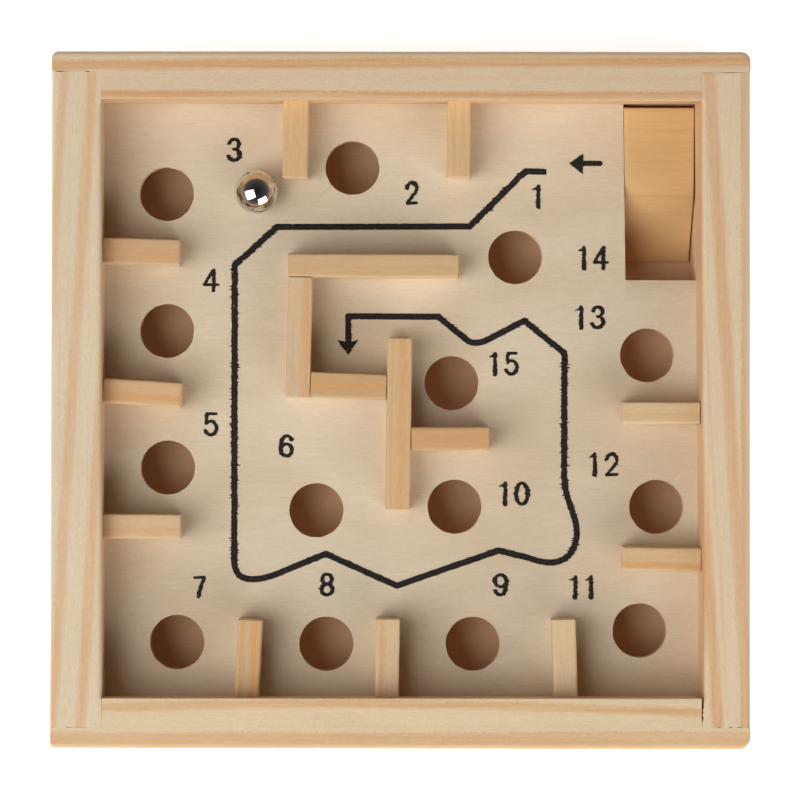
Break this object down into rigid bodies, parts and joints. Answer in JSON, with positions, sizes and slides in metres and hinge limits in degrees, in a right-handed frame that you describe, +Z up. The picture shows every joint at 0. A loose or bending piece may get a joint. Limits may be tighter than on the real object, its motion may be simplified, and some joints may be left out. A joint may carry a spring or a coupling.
{
  "type": "tilt maze game",
  "caption": "Hand-held square wooden tilt maze: open-topped box with a drilled play board, glued walls, a ramp up from the floor and a loose steel ball.",
  "frame": {"origin": "centre of the square footprint, on the plane that the rails rest on", "axes": "+Z up out of the open top, +Y towards the back rail, +X towards the rail beside the ramp"},
  "size_m": [0.127, 0.127, 0.03],
  "materials": {
    "pine_rails": "bare sanded pine with orange growth lines",
    "board_plywood": "bare pale plywood with fine grain across the board and black printing",
    "floor_plywood": "bare pale plywood",
    "ramp_pine": "bare pine, yellower than the frame",
    "wall_wood": "bare square-cut softwood sticks",
    "printed_ink": "thin black print, slightly bled along the grain",
    "ball_steel": "polished steel"
  },
  "bodies": {
    "game_box": {"frame_rail_back": "pine_rails", "frame_rail_front": "pine_rails", "frame_rail_left": "pine_rails", "frame_rail_right": "pine_rails", "maze_board": "board_plywood", "base_board": "floor_plywood", "return_ramp": "ramp_pine", "wall_back_left": "wall_wood", "wall_back_right": "wall_wood", "wall_left_back": "wall_wood", "wall_left_middle": "wall_wood", "wall_left_front": "wall_wood", "wall_front_left": "wall_wood", "wall_front_middle": "wall_wood", "wall_front_right": "wall_wood", "wall_right_back": "wall_wood", "wall_right_front": "wall_wood", "wall_middle_long_cross": "wall_wood", "wall_middle_left": "wall_wood", "wall_middle_short_cross": "wall_wood", "wall_middle_long": "wall_wood", "wall_middle_right": "wall_wood"},
    "ball": {"steel_ball": "ball_steel"}
  },
  "joints": [
    {"name": "ball_roll", "type": "slide", "parent": "game_box", "child": "ball", "axis": [0, 1, 0], "range_m": [-0.0745, 0.0123]}
  ]
}
